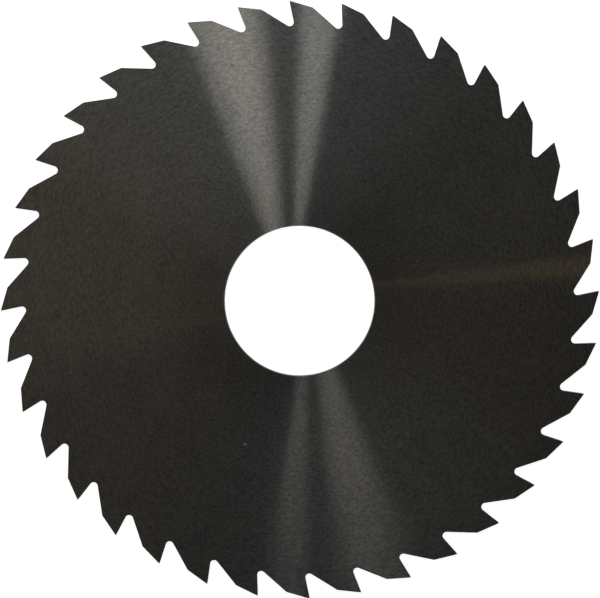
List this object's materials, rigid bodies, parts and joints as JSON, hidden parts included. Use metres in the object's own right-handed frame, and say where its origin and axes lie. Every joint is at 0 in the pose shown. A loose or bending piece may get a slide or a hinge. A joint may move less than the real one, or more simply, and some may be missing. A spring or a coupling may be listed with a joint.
{
  "type": "slitting saw",
  "caption": "Thin round saw blade with straight raked teeth around its rim and a plain arbor hole, clamped on a milling arbor to cut narrow slots.",
  "frame": {"origin": "on the axis of the arbor hole, in the plane that the lower tooth tips touch", "axes": "+Z along the arbor hole, away from the surface that the blade lies on; +X through a tooth tip; seen from +Z the teeth cut counter-clockwise"},
  "size_m": [0.1016, 0.1016, 0.0016],
  "materials": {
    "ground_carbide": "uncoated dark grey carbide with a fine circular grind on both sides"
  },
  "bodies": {
    "root": {"saw_blade": "ground_carbide"}
  },
  "joints": []
}
